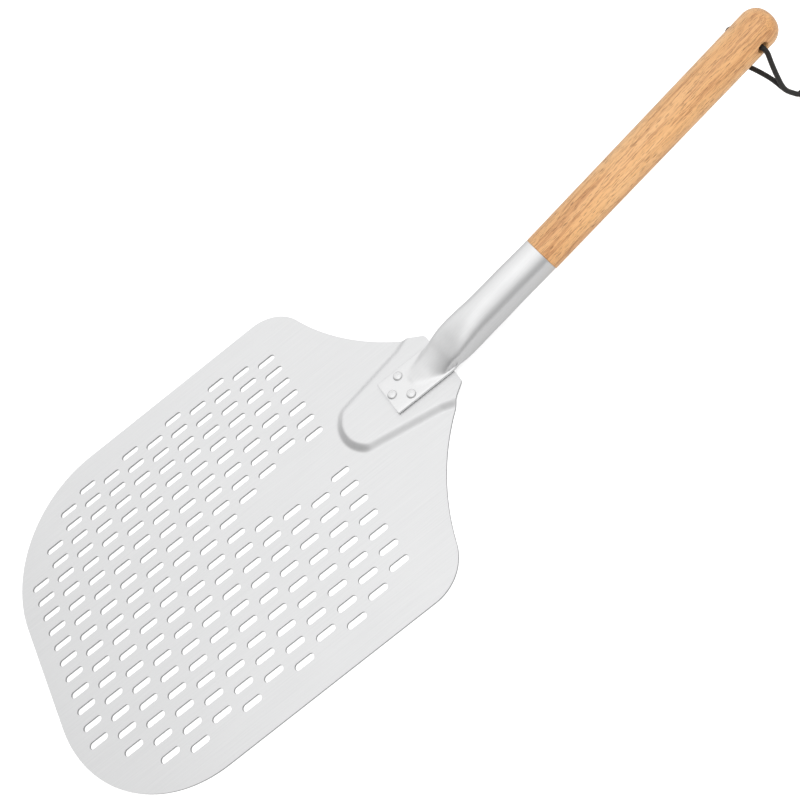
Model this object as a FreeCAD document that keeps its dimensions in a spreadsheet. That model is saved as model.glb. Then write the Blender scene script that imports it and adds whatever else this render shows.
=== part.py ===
import FreeCAD, Part
import math
import os

import Sketcher
from FreeCAD import Placement, Rotation, Vector

# Pizza peel: a slotted, pressed aluminium blade, riveted to the flattened end of an aluminium tube
# that holds a turned wooden handle. +X runs from the blade to the handle, +Z is up, and the blade's
# flat underside lies on Z = 0 with the middle of its slot grid at the origin. Millimetres.

DIMENSIONS = [
    ("blade_thick", 1.8, "plate thickness"),
    ("blade_half_wide", 152.0, "half the blade's width"),
    ("blade_front", 184.5, "front edge, ahead of the origin"),
    ("front_corner", 105.0, "radius of the front corners"),
    ("shoulder_corner", 36.5, "radius of the shoulders"),
    ("shoulder_back", 98.0, "shoulder radius centre, behind the origin"),
    ("flank_sweep", 190.5, "radius of the hollow flanks beside the neck"),
    ("flank_back", 314.4, "flank radius centre, behind the origin"),
    ("neck_back", 206.3, "neck edge, behind the origin"),
    ("neck_corner", 5.0, "radius of the neck's corners"),
    ("slot_long", 16.6, "slot length"),
    ("slot_wide", 5.3, "slot width"),
    ("column_pitch", 23.04, "between slot columns, along X"),
    ("row_pitch", 14.87, "between slots in one column, along Y"),
    ("tongue_rise", 4.5, "height of the pressed tongue"),
    ("tongue_nose", 29.0, "radius of the tongue's nose"),
    ("tongue_nose_back", 136.9, "nose radius centre, behind the origin"),
    ("tongue_corner", 14.0, "radius beside the nose"),
    ("tongue_half_wide", 26.3, "tongue's half width at the nose centre"),
    ("tongue_spread", 11.3, "angle of the tongue's sides, degrees"),
    ("tongue_flare", 22.0, "angle of the sides by the neck, degrees"),
    ("tongue_flare_back", 181.0, "where the flare starts, behind the origin"),
    ("tongue_run", 4.8, "how far a side slopes inwards"),
    ("sheet_inset", 0.85, "how far the underside's outline lies inside the top's"),
    ("wall", 1.4, "tube wall"),
    ("sheet_gap", 0.3, "from the neck edge to the tube"),
    ("flange_front", 154.2, "front of the flattened tube end"),
    ("flange_back", 212.0, "where the flattened sides run out"),
    ("flange_half_wide", 16.7, "half the flattened width"),
    ("flange_edge", 1.3, "rounding of the folded sides"),
    ("rivet_back", 170.9, "pair of rivets, behind the origin"),
    ("rivet_aside", 10.3, "each of the pair, from the middle"),
    ("rivet_front", 159.1, "single rivet, behind the origin"),
    ("rivet_shank", 2.0, "rivet shank radius"),
    ("rivet_head", 3.6, "rivet head radius"),
    ("rivet_dome", 1.7, "rivet head height"),
    ("rivet_rim", 0.4, "straight side of a rivet head"),
    ("rivet_tail", 3.1, "rivet tail radius"),
    ("rivet_tail_high", 1.1, "rivet tail height"),
    ("rivet_play", 0.05, "radial play round a shank"),
    ("joint_back", 308.6, "end of the tube, behind the origin"),
    ("joint_high", 30.2, "end of the tube, above the table"),
    ("handle_tilt", 13.3, "rise of the handle, degrees"),
    ("handle_radius", 14.8, "grip and tube radius"),
    ("handle_long", 219.8, "grip length outside the tube"),
    ("handle_end", 11.2, "rounding of the grip's end"),
    ("tenon_long", 22.0, "tenon length inside the tube"),
    ("tenon_radius", 12.2, "tenon radius"),
    ("cord_hole_along", 200.5, "cord hole, from the tube's end"),
    ("cord_hole_radius", 3.6, "cord hole radius"),
    ("nail_along", 11.0, "nail, from the tube's end"),
    ("nail_radius", 1.2, "nail shank radius"),
    ("nail_long", 13.0, "nail shank length"),
    ("nail_head", 2.8, "nail head radius"),
    ("nail_dome", 1.2, "nail head height"),
    ("cord_radius", 1.75, "hanging cord radius"),
    ("knot_back", 534.5, "knot centre, behind the origin"),
    ("knot_aside", 16.0, "knot centre, to the near side"),
    ("knot_half_long", 7.0, "half the knot's length"),
    ("knot_half_high", 6.0, "half the knot's height and width"),
    ("tail_long", 11.0, "cord tail beyond the knot"),
]

# Slots repeated along Y together: how many in each run, and each run's column and first half row.
SLOT_RUNS = [
    (18, [(-4, -17), (-2, -17), (0, -17)]),
    (17, [(-5, -16), (-3, -16), (-1, -16)]),
    (14, [(-6, -13)]),
    (11, [(-7, -10)]),
    (8, [(1, -16), (1, 2), (2, -17), (2, 3)]),
    (7, [(3, -16), (3, 4), (4, -15), (4, 3)]),
]

# Formed tube, in upright cross-sections along X: place, half width, top, bottom and fullness. A fullness
# of 2 is an ellipse and more is squarer. The tube swells out of the flattened end, drops behind the
# blade's neck and runs round up to the grip, bowed a little upwards on the way.
TUBE_SECTIONS = [
    (174.0, 5.0, 8.7, 5.6, 2.0),
    (180.0, 7.6, 10.3, 5.5, 2.0),
    (186.0, 9.2, 11.9, 5.4, 2.1),
    (192.0, 10.7, 13.5, 5.2, 2.1),
    (198.0, 12.3, 15.4, 4.8, 2.2),
    (204.0, 14.0, 17.6, 3.9, 2.3),
    (210.0, 15.6, 20.2, 2.4, 2.4),
    (216.0, 16.4, 22.7, 1.2, 2.5),
    (222.0, 16.4, 25.2, 0.8, 2.5),
    (228.0, 16.1, 27.5, 0.8, 2.4),
    (234.0, 15.8, 29.4, 1.0, 2.3),
    (240.0, 15.5, 31.1, 1.5, 2.15),
    (246.0, 15.3, 32.6, 2.0, 2.05),
    (252.0, 15.2, 33.9, 2.8, 2.0),
    (258.0, 15.15, 35.2, 4.2, 2.0),
    (264.0, 15.1, 36.6, 5.6, 2.0),
    (270.0, 15.05, 37.9, 7.1, 2.0),
    (276.0, 15.0, 39.15, 8.5, 2.0),
    (282.0, 14.95, 40.35, 9.8, 2.0),
    (288.0, 14.85, 41.5, 11.1, 2.0),
    (294.0, 14.8, 42.7, 12.35, 2.0),
    (300.0, 14.75, 43.9, 13.65, 2.0),
    (306.0, 14.7, 45.1, 14.95, 2.0),
    (312.0, 14.7, 46.4, 16.2, 2.0),
    (318.0, 14.7, 47.7, 17.5, 2.0),
]
HOLLOW_START = 186.0
SECTION_POINTS = 20
TENON_RUN_UP = 1.0

# The two runs of the hanging cord, from the middle of the cross hole to the knot.
NEAR_RUN = [
    (503.7, 0.0, 76.3),
    (503.7, -8.5, 76.1),
    (503.7, -18.0, 76.0),
    (504.9, -19.3, 65.0),
    (508.8, -18.7, 48.5),
    (514.4, -17.8, 28.5),
    (521.6, -17.3, 18.0),
    (529.0, -17.9, 9.6),
]
FAR_RUN = [
    (503.7, 0.0, 76.3),
    (503.7, 8.5, 76.5),
    (503.4, 19.6, 76.2),
    (499.2, 19.6, 66.5),
    (497.6, 13.0, 57.0),
    (499.6, 2.5, 53.5),
    (503.8, -7.5, 49.0),
    (509.8, -13.4, 39.5),
    (516.2, -15.0, 26.0),
    (522.2, -13.6, 15.6),
    (529.0, -14.0, 7.4),
]
ARC_SHARE = 0.45

os.makedirs("parts", exist_ok=True)
doc = FreeCAD.newDocument("pizza_peel")
sheet = doc.addObject("Spreadsheet::Sheet", "dimensions")
for row, (alias, value, note) in enumerate(DIMENSIONS, start=1):
    sheet.set(f"A{row}", note)
    sheet.set(f"B{row}", str(value))
    sheet.setAlias(f"B{row}", alias)
doc.recompute()

UP = Vector(0, 0, 1)
SUBPARTS = []


def size(alias):
    return float(sheet.get(alias))


def bind(item, prop, formula):
    """Bind a property to the sheet; sheet names in the formula stand alone, such as blade_thick / 2."""
    words = formula.replace("(", "( ").replace(")", " )").split(" ")
    known = {alias for alias, _value, _note in DIMENSIONS}
    item.setExpression(prop, " ".join(f"dimensions.{w}" if w in known else w for w in words))


def new_body(name):
    body = doc.addObject("PartDesign::Body", name)
    body.Label = name
    SUBPARTS.append(body)
    return body


def new_sketch(body, name, role, lift=None):
    sketch = body.newObject("Sketcher::SketchObject", name)
    plane = next(item for item in body.Origin.OriginFeatures if item.Role == role)
    sketch.AttachmentSupport = (plane, [""])
    sketch.MapMode = "FlatFace"
    if lift:
        bind(sketch, "AttachmentOffset.Base.z", lift)
    return sketch


def fix(sketch, name, formula, *constraint):
    """Add a dimension to a sketch and bind it to the sheet."""
    index = sketch.addConstraint(Sketcher.Constraint(*constraint))
    sketch.renameConstraint(index, name)
    bind(sketch, f"Constraints.{name}", formula)


def line(start, end):
    return Part.LineSegment(Vector(*start, 0), Vector(*end, 0))


def arc(centre, radius, start, end):
    """Counter-clockwise arc between two angles in degrees."""
    circle = Part.Circle(Vector(*centre, 0), UP, radius)
    return Part.ArcOfCircle(circle, math.radians(start), math.radians(end))


def heading(start, end):
    return math.degrees(math.atan2(end[1] - start[1], end[0] - start[0]))


def add_outline(sketch):
    """The blade's outline: round front, shoulders, hollow flanks and a narrow neck."""
    half, front, corner = size("blade_half_wide"), size("blade_front"), size("front_corner")
    shoulder, sweep, nick = size("shoulder_corner"), size("flank_sweep"), size("neck_corner")
    shoulder_mid = (size("shoulder_back"), half - shoulder)
    flank_x = size("flank_back")
    rise = math.sqrt((shoulder + sweep) ** 2 - (flank_x - shoulder_mid[0]) ** 2)
    flank_mid = (flank_x, shoulder_mid[1] + rise)
    neck = size("neck_back")
    drop = math.sqrt((sweep + nick) ** 2 - (flank_x - neck + nick) ** 2)
    nick_mid = (neck - nick, flank_mid[1] - drop)
    meet = heading(shoulder_mid, flank_mid)
    turn = heading(flank_mid, nick_mid)
    front_mid = (corner - front, half - corner)

    def mirror(point):
        return (point[0], -point[1])

    neck_edge = sketch.addGeometry(line((neck, -nick_mid[1]), (neck, nick_mid[1])))
    nick_up = sketch.addGeometry(arc(nick_mid, nick, 0, turn + 180))
    flank_up = sketch.addGeometry(arc(flank_mid, sweep, meet - 180, turn))
    shoulder_up = sketch.addGeometry(arc(shoulder_mid, shoulder, meet, 90))
    side_up = sketch.addGeometry(line((shoulder_mid[0], half), (front_mid[0], half)))
    front_up = sketch.addGeometry(arc(front_mid, corner, 90, 180))
    front_edge = sketch.addGeometry(line((-front, front_mid[1]), (-front, -front_mid[1])))
    front_down = sketch.addGeometry(arc(mirror(front_mid), corner, 180, 270))
    side_down = sketch.addGeometry(line((front_mid[0], -half), (shoulder_mid[0], -half)))
    shoulder_down = sketch.addGeometry(arc(mirror(shoulder_mid), shoulder, -90, -meet))
    flank_down = sketch.addGeometry(arc(mirror(flank_mid), sweep, -turn, 180 - meet))
    nick_down = sketch.addGeometry(arc(mirror(nick_mid), nick, 180 - turn, 360))

    # Every join is tangent; each pair says which end meets which (1 the start, 2 the end).
    joins = [
        (neck_edge, 2, nick_up, 1), (nick_up, 2, flank_up, 2), (flank_up, 1, shoulder_up, 1),
        (shoulder_up, 2, side_up, 1), (side_up, 2, front_up, 1), (front_up, 2, front_edge, 1),
        (front_edge, 2, front_down, 1), (front_down, 2, side_down, 1),
        (side_down, 2, shoulder_down, 1), (shoulder_down, 2, flank_down, 2),
        (flank_down, 1, nick_down, 1), (nick_down, 2, neck_edge, 1),
    ]
    for join in joins:
        sketch.addConstraint(Sketcher.Constraint("Tangent", *join))
    for edge in (neck_edge, front_edge):
        sketch.addConstraint(Sketcher.Constraint("Vertical", edge))
    for edge in (side_up, side_down):
        sketch.addConstraint(Sketcher.Constraint("Horizontal", edge))
    radii = [
        ("nick", "neck_corner", nick_up, nick_down),
        ("sweep", "flank_sweep", flank_up, flank_down),
        ("shoulder", "shoulder_corner", shoulder_up, shoulder_down),
        ("corner", "front_corner", front_up, front_down),
    ]
    for name, alias, one, other in radii:
        fix(sketch, name, alias, "Radius", one, size(alias))
        sketch.addConstraint(Sketcher.Constraint("Equal", one, other))
    fix(sketch, "neck", "neck_back", "DistanceX", -1, 1, neck_edge, 1, neck)
    fix(sketch, "front", "blade_front", "DistanceX", front_edge, 1, -1, 1, front)
    fix(sketch, "half_up", "blade_half_wide", "DistanceY", -1, 1, side_up, 1, half)
    fix(sketch, "half_down", "blade_half_wide", "DistanceY", side_down, 1, -1, 1, half)
    for name, one in (("shoulder_up", shoulder_up), ("shoulder_down", shoulder_down)):
        fix(sketch, name, "shoulder_back", "DistanceX", -1, 1, one, 3, shoulder_mid[0])
    for name, one in (("flank_up", flank_up), ("flank_down", flank_down)):
        fix(sketch, name, "flank_back", "DistanceX", -1, 1, one, 3, flank_x)


def add_tongue(sketch, inset):
    """The tongue's outline, drawn in by so much: a blunt nose, spreading sides and a flare at the neck."""
    inset_size = sum(size(word) for word in inset.split(" + ")) if inset else 0.0
    nose_mid = (size("tongue_nose_back"), 0.0)
    nose = size("tongue_nose") - inset_size
    corner = size("tongue_corner") - inset_size
    half = size("tongue_half_wide") - inset_size
    spread = math.radians(size("tongue_spread"))
    flare = math.radians(size("tongue_flare"))
    # The corner's centre stands off the side line by its radius and off the nose's centre by the difference.
    reach = math.asin((half - corner) / (nose - corner))
    turn = math.pi - reach + spread
    corner_mid = (
        nose_mid[0] + (nose - corner) * math.cos(turn),
        (nose - corner) * math.sin(turn),
    )
    side_start = (corner_mid[0] - corner * math.sin(spread), corner_mid[1] + corner * math.cos(spread))
    bend_x = size("tongue_flare_back") + inset_size * math.tan((flare - spread) / 2)
    bend = (bend_x, side_start[1] + (bend_x - side_start[0]) * math.tan(spread))
    end_x = size("neck_back") + size("tongue_rise")
    end = (end_x, bend[1] + (end_x - bend_x) * math.tan(flare))

    def mirror(point):
        return (point[0], -point[1])

    turn_degrees = math.degrees(turn)
    side_degrees = 90 + math.degrees(spread)
    nose_arc = sketch.addGeometry(arc(nose_mid, nose, turn_degrees, 360 - turn_degrees))
    corners = [
        sketch.addGeometry(arc(corner_mid, corner, side_degrees, turn_degrees)),
        sketch.addGeometry(arc(mirror(corner_mid), corner, 360 - turn_degrees, 360 - side_degrees)),
    ]
    side_up = sketch.addGeometry(line(bend, side_start))
    side_down = sketch.addGeometry(line(mirror(side_start), mirror(bend)))
    flare_up = sketch.addGeometry(line(end, bend))
    flare_down = sketch.addGeometry(line(mirror(bend), mirror(end)))
    close = sketch.addGeometry(line(mirror(end), end))
    tangents = [
        (corners[0], 2, nose_arc, 1), (nose_arc, 2, corners[1], 1),
        (side_up, 2, corners[0], 1), (corners[1], 2, side_down, 1),
    ]
    for join in tangents:
        sketch.addConstraint(Sketcher.Constraint("Tangent", *join))
    meetings = [
        (flare_up, 2, side_up, 1), (side_down, 2, flare_down, 1),
        (flare_down, 2, close, 1), (close, 2, flare_up, 1),
    ]
    for join in meetings:
        sketch.addConstraint(Sketcher.Constraint("Coincident", *join))
    less = f" - ( {inset} )" if inset else ""
    fix(sketch, "nose", "tongue_nose" + less, "Radius", nose_arc, nose)
    fix(sketch, "corner", "tongue_corner" + less, "Radius", corners[0], corner)
    sketch.addConstraint(Sketcher.Constraint("Equal", corners[0], corners[1]))
    sketch.addConstraint(Sketcher.Constraint("PointOnObject", nose_arc, 3, -1))
    sketch.addConstraint(Sketcher.Constraint("Vertical", close))
    fix(sketch, "nose_back", "tongue_nose_back", "DistanceX", -1, 1, nose_arc, 3, nose_mid[0])
    for name, side in (("half_up", side_up), ("half_down", side_down)):
        fix(sketch, name, "tongue_half_wide" + less, "Distance", nose_arc, 3, side, half)


def add_slot(sketch, column, half_row):
    """One round-ended slot along X at its place in the grid."""
    x = column * size("column_pitch")
    y = half_row * size("row_pitch") / 2
    radius = size("slot_wide") / 2
    reach = size("slot_long") / 2 - radius
    left = sketch.addGeometry(arc((x - reach, y), radius, 90, 270))
    right = sketch.addGeometry(arc((x + reach, y), radius, -90, 90))
    lower = sketch.addGeometry(line((x - reach, y - radius), (x + reach, y - radius)))
    upper = sketch.addGeometry(line((x + reach, y + radius), (x - reach, y + radius)))
    for join in ((left, 2, lower, 1), (lower, 2, right, 1), (right, 2, upper, 1), (upper, 2, left, 1)):
        sketch.addConstraint(Sketcher.Constraint("Tangent", *join))
    sketch.addConstraint(Sketcher.Constraint("Horizontal", lower))
    sketch.addConstraint(Sketcher.Constraint("Equal", left, right))
    fix(sketch, f"radius_{left}", "slot_wide / 2", "Radius", left, radius)
    fix(sketch, f"span_{left}", "slot_long - slot_wide", "DistanceX", left, 3, right, 3, 2 * reach)
    place_x = f"{column} * column_pitch - slot_long / 2 + slot_wide / 2"
    fix(sketch, f"place_x_{left}", place_x, "DistanceX", -1, 1, left, 3, x - reach)
    fix(sketch, f"place_y_{left}", f"{half_row} * row_pitch / 2", "DistanceY", -1, 1, left, 3, y)


def cut_through(body, name, sketch, both_ways=False):
    """A pocket right through the body, upwards from its sketch unless it goes both ways."""
    before = body.Shape.Volume
    pocket = body.newObject("PartDesign::Pocket", name)
    pocket.Profile = sketch
    pocket.Type = "ThroughAll"
    pocket.Midplane = both_ways
    pocket.Reversed = not both_ways
    doc.recompute()
    if body.Shape.Volume >= before - 1e-3:
        raise RuntimeError(f"{name} cuts nothing")
    return pocket


def make_blade():
    body = new_body("blade")
    outline = new_sketch(body, "blade_outline", "XY_Plane")
    add_outline(outline)
    plate = body.newObject("PartDesign::Pad", "plate")
    plate.Profile = outline
    bind(plate, "Length", "blade_thick")
    doc.recompute()

    # The tongue is pressed up: a raised block with sloping sides, hollowed from below to sheet thickness.
    lofts = [
        ("AdditiveLoft", "tongue_top", "blade_thick", "blade_thick + tongue_rise", ""),
        ("SubtractiveLoft", "tongue_hollow", None, "tongue_rise", "sheet_inset"),
    ]
    for kind, name, foot, crown, inset in lofts:
        foot_sketch = new_sketch(body, name + "_foot", "XY_Plane", foot)
        add_tongue(foot_sketch, inset)
        crown_sketch = new_sketch(body, name + "_crown", "XY_Plane", crown)
        add_tongue(crown_sketch, f"{inset} + tongue_run" if inset else "tongue_run")
        loft = body.newObject("PartDesign::" + kind, name)
        loft.Profile = foot_sketch
        loft.Sections = [crown_sketch]
        loft.Ruled = True
        doc.recompute()

    # What the tongue reaches past the outline is trimmed off with it.
    waste = new_sketch(body, "waste_outline", "XY_Plane")
    add_outline(waste)
    far_x = 2 * size("neck_back")
    far_y = 2 * size("blade_half_wide")
    frame = [(-far_x, -far_y), (far_x, -far_y), (far_x, far_y), (-far_x, far_y)]
    for start, end in zip(frame, frame[1:] + frame[:1]):
        waste.addGeometry(line(start, end))
    cut_through(body, "trim", waste, both_ways=True)

    for number, (count, starts) in enumerate(SLOT_RUNS):
        sketch = new_sketch(body, f"slots_{number}", "XY_Plane")
        for column, half_row in starts:
            add_slot(sketch, column, half_row)
        pocket = cut_through(body, f"slots_{number}_pocket", sketch)
        pattern = body.newObject("PartDesign::LinearPattern", f"slots_{number}_rows")
        pattern.Originals = [pocket]
        pattern.Direction = (sketch, ["V_Axis"])
        bind(pattern, "Length", f"{count - 1} * row_pitch")
        pattern.Occurrences = count
        body.Tip = pattern
        doc.recompute()

    holes = new_sketch(body, "rivet_places", "XY_Plane")
    for number, (back, aside) in enumerate(rivet_places()):
        radius = size("rivet_shank") + size("rivet_play")
        circle = Part.Circle(Vector(size(back), aside * size("rivet_aside"), 0), UP, radius)
        hole = holes.addGeometry(circle)
        fix(holes, f"radius_{number}", "rivet_shank + rivet_play", "Radius", hole, radius)
        fix(holes, f"back_{number}", back, "DistanceX", -1, 1, hole, 3, size(back))
        if aside:
            place = aside * size("rivet_aside")
            fix(holes, f"aside_{number}", f"{aside} * rivet_aside", "DistanceY", -1, 1, hole, 3, place)
        else:
            holes.addConstraint(Sketcher.Constraint("PointOnObject", hole, 3, -1))
    cut_through(body, "rivet_holes", holes)
    return body


def rivet_places():
    """Each rivet: the sheet's name for its place along X, and its side."""
    return [("rivet_front", 0), ("rivet_back", 1), ("rivet_back", -1)]


def handle_point(along, below=0.0):
    """A point on the handle's axis, or so far below it, measured from the tube's end."""
    tilt = math.radians(size("handle_tilt"))
    axis = Vector(math.cos(tilt), 0, math.sin(tilt))
    down = Vector(math.sin(tilt), 0, -math.cos(tilt))
    joint = Vector(size("joint_back"), 0, size("joint_high"))
    return joint + axis * along + down * below


def tube_loft(name, inset, start):
    """The formed tube as a smooth solid through its cross-sections, all drawn in by so much."""
    wires = []
    for x, half, top, bottom, fullness in TUBE_SECTIONS:
        if x < start:
            continue
        high = (top - bottom) / 2 - inset
        points = []
        for step in range(SECTION_POINTS):
            angle = 2 * math.pi * step / SECTION_POINTS
            across = math.copysign(abs(math.cos(angle)) ** (2 / fullness), math.cos(angle))
            upward = math.copysign(abs(math.sin(angle)) ** (2 / fullness), math.sin(angle))
            points.append(Vector(x, (half - inset) * across, (top + bottom) / 2 + high * upward))
        curve = Part.BSplineCurve()
        curve.interpolate(points, PeriodicFlag=True)
        wires.append(Part.Wire([curve.toShape()]))
    loft = doc.addObject("Part::Feature", name)
    loft.Shape = Part.makeLoft(wires, True, False, False, 3)
    return loft


def clear_below(name, loft, back, level):
    """Trim away what lies in front of a place and below a level."""
    room = doc.addObject("Part::Box", name + "_room")
    bind(room, "Length", f"{back} - flange_front")
    bind(room, "Width", "4 * flange_half_wide")
    bind(room, "Height", f"{level} + flange_half_wide")
    bind(room, "Placement.Base.x", "flange_front")
    bind(room, "Placement.Base.y", "- 2 * flange_half_wide")
    bind(room, "Placement.Base.z", "- flange_half_wide")
    trimmed = doc.addObject("Part::Cut", name)
    trimmed.Base = loft
    trimmed.Tool = room
    doc.recompute()
    return trimmed


def make_tube_socket():
    seat = "blade_thick + tongue_rise"
    outer = clear_below("tube_outside", tube_loft("outside_loft", 0.0, 0.0), "neck_back + sheet_gap", seat)
    hollow = tube_loft("inside_loft", size("wall"), HOLLOW_START)
    inner = clear_below("tube_inside", hollow, "neck_back + sheet_gap + wall", seat + " + wall")

    flange = doc.addObject("Part::Box", "flange")
    bind(flange, "Length", "flange_back - flange_front")
    bind(flange, "Width", "2 * flange_half_wide")
    bind(flange, "Height", "2 * wall")
    bind(flange, "Placement.Base.x", "flange_front")
    bind(flange, "Placement.Base.y", "- flange_half_wide")
    bind(flange, "Placement.Base.z", seat)
    doc.recompute()
    folded = doc.addObject("Part::Fillet", "folded_flange")
    folded.Base = flange
    long_edges = [
        number
        for number, edge in enumerate(flange.Shape.Edges, start=1)
        if abs(edge.Length - size("flange_back") + size("flange_front")) < 1e-6
    ]
    folded.Edges = [(number, size("flange_edge"), size("flange_edge")) for number in long_edges]
    doc.recompute()

    outside = doc.addObject("Part::MultiFuse", "tube_and_flange")
    outside.Shapes = [outer, folded]
    past_end = doc.addObject("Part::Cylinder", "past_tube_end")
    bind(past_end, "Radius", "3 * handle_radius")
    bind(past_end, "Height", "handle_radius")
    past_end.Placement = Placement(handle_point(0), Rotation(Vector(0, 1, 0), 90 - size("handle_tilt")))
    cut_away = [inner, past_end]
    for number, (back, aside) in enumerate(rivet_places()):
        hole = doc.addObject("Part::Cylinder", f"tube_rivet_hole_{number}")
        bind(hole, "Radius", "rivet_shank + rivet_play")
        bind(hole, "Height", "4 * wall")
        bind(hole, "Placement.Base.x", back)
        bind(hole, "Placement.Base.y", f"{aside} * rivet_aside")
        bind(hole, "Placement.Base.z", seat + " - wall")
        cut_away.append(hole)
    nail_hole = doc.addObject("Part::Cylinder", "tube_nail_hole")
    bind(nail_hole, "Radius", "nail_radius")
    bind(nail_hole, "Height", "2 * handle_radius")
    nail_hole.Placement = Placement(handle_point(-size("nail_along")), nail_rotation())
    cut_away.append(nail_hole)
    tube = outside
    for number, tool in enumerate(cut_away, start=1):
        cut = doc.addObject("Part::Cut", "tube_socket" if tool is nail_hole else f"tube_cut_{number}")
        cut.Base = tube
        cut.Tool = tool
        tube = cut
    tube.Label = "tube_socket"
    SUBPARTS.append(tube)
    doc.recompute()
    return tube


def nail_rotation():
    """Turns +Z to point square out of the handle's underside."""
    return Rotation(Vector(0, 1, 0), 180 - size("handle_tilt"))


def make_turned(body, sketch_name, profile):
    """Draw a closed profile of lines and three-point arcs, given as (radius, height), for turning round Z."""
    sketch = new_sketch(body, sketch_name, "XZ_Plane")
    for item in profile:
        ends = [Vector(*point, 0) for point in item]
        if len(ends) == 3:
            sketch.addGeometry(Part.Arc(*ends))
        else:
            sketch.addGeometry(Part.LineSegment(*ends))
    return sketch


def dome_arc(radius, foot, crown):
    """Half of a round dome's outline, from its crown on the axis to its rim, as three points."""
    rise = crown - foot
    ball = (radius**2 + rise**2) / (2 * rise)
    half_angle = math.asin(radius / abs(ball)) / 2
    middle = (abs(ball) * math.sin(half_angle), crown - ball + ball * math.cos(half_angle))
    return [(0, crown), middle, (radius, foot)]


def make_rivet(name, back, aside):
    body = new_body(name)
    shank, head, dome = size("rivet_shank"), size("rivet_head"), size("rivet_dome")
    tail, tail_high = size("rivet_tail"), size("rivet_tail_high")
    grip = size("blade_thick") + 2 * size("wall")
    rim = size("rivet_rim")
    sketch = make_turned(body, name + "_profile", [
        dome_arc(head, rim, dome),
        [(head, rim), (head, 0)],
        [(head, 0), (shank, 0)],
        [(shank, 0), (shank, -grip)],
        [(shank, -grip), (tail, -grip)],
        [(tail, -grip), (tail - tail_high / 2, -grip - tail_high)],
        [(tail - tail_high / 2, -grip - tail_high), (0, -grip - tail_high)],
        [(0, -grip - tail_high), (0, dome)],
    ])
    turned = body.newObject("PartDesign::Revolution", name + "_turned")
    turned.Profile = sketch
    turned.ReferenceAxis = (sketch, ["V_Axis"])
    turned.Angle = 360
    bind(body, "Placement.Base.x", back)
    bind(body, "Placement.Base.y", f"{aside} * rivet_aside")
    bind(body, "Placement.Base.z", "blade_thick + tongue_rise + 2 * wall")
    return body


def make_handle():
    """The grip stands along its own Z with the tube's end at Z = 0, then tilts into place."""
    body = new_body("handle")
    sketch = new_sketch(body, "handle_profile", "XZ_Plane")
    tenon, radius = size("tenon_radius"), size("handle_radius")
    low, high = -size("tenon_long"), size("handle_long")
    corners = [
        (0, low), (tenon - TENON_RUN_UP, low), (tenon, low + TENON_RUN_UP),
        (tenon, 0), (radius, 0), (radius, high), (0, high),
    ]
    edges = [
        sketch.addGeometry(line(start, end)) for start, end in zip(corners, corners[1:] + corners[:1])
    ]
    for edge, following in zip(edges, edges[1:] + edges[:1]):
        sketch.addConstraint(Sketcher.Constraint("Coincident", edge, 2, following, 1))
    for edge in (edges[0], edges[3], edges[5]):
        sketch.addConstraint(Sketcher.Constraint("Horizontal", edge))
    for edge in (edges[2], edges[4], edges[6]):
        sketch.addConstraint(Sketcher.Constraint("Vertical", edge))
    sketch.addConstraint(Sketcher.Constraint("PointOnObject", edges[0], 1, -2))
    sketch.addConstraint(Sketcher.Constraint("PointOnObject", edges[3], 1, -1))
    fix(sketch, "tenon_radius", "tenon_radius", "DistanceX", -1, 1, edges[2], 1, tenon)
    fix(sketch, "grip_radius", "handle_radius", "DistanceX", -1, 1, edges[4], 1, radius)
    fix(sketch, "grip_long", "handle_long", "DistanceY", -1, 1, edges[5], 1, high)
    fix(sketch, "tenon_long", "tenon_long", "DistanceY", edges[0], 1, -1, 1, -low)
    fix(sketch, "bevel_wide", "1", "DistanceX", edges[1], 1, edges[1], 2, TENON_RUN_UP)
    fix(sketch, "bevel_high", "1", "DistanceY", edges[1], 1, edges[1], 2, TENON_RUN_UP)
    turned = body.newObject("PartDesign::Revolution", "handle_turned")
    turned.Profile = sketch
    turned.ReferenceAxis = (sketch, ["V_Axis"])
    turned.Angle = 360
    doc.recompute()

    end_edge = next(
        f"Edge{number}"
        for number, edge in enumerate(turned.Shape.Edges, start=1)
        if abs(edge.CenterOfMass.z - high) < 1e-3 and edge.Length > radius
    )
    rounded = body.newObject("PartDesign::Fillet", "handle_end_rounding")
    rounded.Base = (turned, [end_edge])
    bind(rounded, "Radius", "handle_end")
    doc.recompute()

    cross = new_sketch(body, "cord_hole_place", "XZ_Plane")
    hole_radius, along = size("cord_hole_radius"), size("cord_hole_along")
    hole = cross.addGeometry(Part.Circle(Vector(0, along, 0), UP, hole_radius))
    cross.addConstraint(Sketcher.Constraint("PointOnObject", hole, 3, -2))
    fix(cross, "hole_radius", "cord_hole_radius", "Radius", hole, hole_radius)
    fix(cross, "hole_along", "cord_hole_along", "DistanceY", -1, 1, hole, 3, along)
    cut_through(body, "cord_hole", cross, both_ways=True)

    pilot = new_sketch(body, "nail_hole_place", "YZ_Plane")
    back = -size("nail_along")
    hole = pilot.addGeometry(Part.Circle(Vector(0, back, 0), UP, size("nail_radius")))
    pilot.addConstraint(Sketcher.Constraint("PointOnObject", hole, 3, -2))
    fix(pilot, "nail_radius", "nail_radius", "Radius", hole, size("nail_radius"))
    fix(pilot, "nail_back", "nail_along", "DistanceY", hole, 3, -1, 1, -back)
    cut_through(body, "nail_hole", pilot)

    tilt = Rotation(Vector(0, 1, 0), 90 - size("handle_tilt"))
    body.Placement = Placement(handle_point(0), tilt)
    return body


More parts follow.
